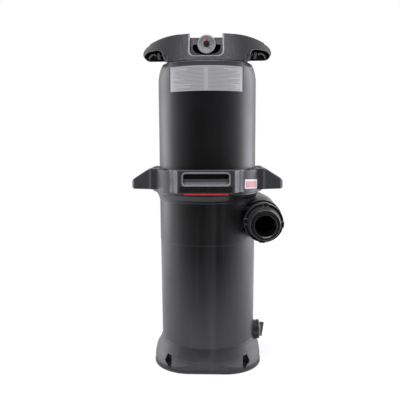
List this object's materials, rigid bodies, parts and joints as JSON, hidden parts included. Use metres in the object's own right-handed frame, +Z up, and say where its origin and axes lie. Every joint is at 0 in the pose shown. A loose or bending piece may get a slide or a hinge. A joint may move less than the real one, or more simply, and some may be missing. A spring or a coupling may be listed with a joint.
{
  "type": "cartridge pool filter",
  "caption": "Tall upright pressure tank for a pool with a pleated cartridge, lift-off domed head, locking ring, carrying handle, gauge, side unions and drain",
  "frame": {"origin": "on the tank axis at the plane of the foot", "axes": "+Z up along the tank axis, -Y towards the gauge and label, +X towards the port manifold"},
  "size_m": [0.461, 0.41, 1.0008],
  "materials": {
    "tank_black": "satin moulded, dark charcoal",
    "grip_black": "fine leather grain, charcoal",
    "union_black": "satin moulded, black",
    "seal_rubber": "smooth black rubber",
    "tab_red": "smooth red plastic",
    "spring_steel": "bright stainless steel",
    "gauge_case_grey": "satin grey enamel",
    "dial_white": "matt white print",
    "needle_black": "matt black",
    "lens_clear": "clear, smooth",
    "stem_brass": "turned brass",
    "marker_green": "smooth green plastic",
    "media_white": "pleated spun polyester",
    "cap_blue": "cast urethane",
    "core_white": "moulded, white",
    "duct_grey": "moulded, grey"
  },
  "bodies": {
    "tank": {"tank_body": "tank_black", "outlet_duct": "duct_grey", "air_bleed_tube": "core_white", "bleed_strainer": "cap_blue", "inlet_diffuser": "duct_grey", "front_tailpiece": "union_black", "front_union_o_ring": "seal_rubber", "rear_tailpiece": "union_black", "rear_union_o_ring": "seal_rubber"},
    "head": {"tank_head": "tank_black", "body_o_ring": "seal_rubber", "top_handle": "grip_black", "handle_screws": "spring_steel", "gauge_case": "gauge_case_grey", "gauge_dial": "dial_white", "gauge_lens": "lens_clear", "gauge_stem": "stem_brass", "air_relief_body": "union_black", "air_relief_o_ring": "seal_rubber"},
    "ring": {"locking_ring": "grip_black", "lock_tab_springs": "spring_steel"},
    "tab": {"lock_tab": "tab_red"},
    "needle": {"gauge_needle": "needle_black"},
    "marker": {"marker_knob": "needle_black", "marker_green_arm": "marker_green", "marker_red_arm": "tab_red"},
    "relief_knob": {"air_relief_knob": "grip_black"},
    "cartridge": {"filter_media": "media_white", "cartridge_top_cap": "cap_blue", "cartridge_bottom_cap": "cap_blue", "cartridge_core": "core_white"},
    "front_nut": {"front_union_nut": "union_black"},
    "rear_nut": {"rear_union_nut": "union_black"},
    "drain": {"drain_plug": "union_black", "drain_o_ring": "seal_rubber"}
  },
  "joints": [
    {"name": "head_lift", "type": "slide", "parent": "tank", "child": "head", "axis": [0, 0, 1], "range_m": [0, 0.88]},
    {"name": "ring_turn", "type": "hinge", "parent": "head", "child": "ring", "pos_m": [0, 0, 0.57], "axis": [0, 0, 1], "range_deg": [0, 90]},
    {"name": "lock_tab_press", "type": "slide", "parent": "ring", "child": "tab", "axis": [0, 0, 1], "range_m": [0, 0.006], "stiffness_N_per_m": 2500, "deforming": ["lock_tab_springs"]},
    {"name": "cartridge_lift", "type": "slide", "parent": "tank", "child": "cartridge", "axis": [0, 0, 1], "range_m": [0, 0.4928]},
    {"name": "needle_swing", "type": "hinge", "parent": "head", "child": "needle", "pos_m": [0, -0.054, 0.974], "axis": [0, 1, 0], "range_deg": [0, 270], "stiffness_Nm_per_rad": 0.00002},
    {"name": "marker_turn", "type": "hinge", "parent": "head", "child": "marker", "pos_m": [0, -0.054, 0.974], "axis": [0, -1, 0], "continuous": true},
    {"name": "air_relief_turn", "type": "hinge", "parent": "head", "child": "relief_knob", "pos_m": [0, 0.088, 0.96], "axis": [0, 0, 1], "range_deg": [0, 180]},
    {"name": "front_nut_turn", "type": "hinge", "parent": "tank", "child": "front_nut", "pos_m": [0.166, -0.14, 0.455], "axis": [0, -1, 0], "continuous": true},
    {"name": "rear_nut_turn", "type": "hinge", "parent": "tank", "child": "rear_nut", "pos_m": [0.166, 0.14, 0.455], "axis": [0, 1, 0], "continuous": true},
    {"name": "drain_plug_turn", "type": "hinge", "parent": "tank", "child": "drain", "pos_m": [0.16, 0, 0.079], "axis": [1, 0, 0], "continuous": true}
  ],
  "couplings": [
    {"joint": "cartridge_lift", "follows": "head_lift", "ratio": 0.56}
  ]
}
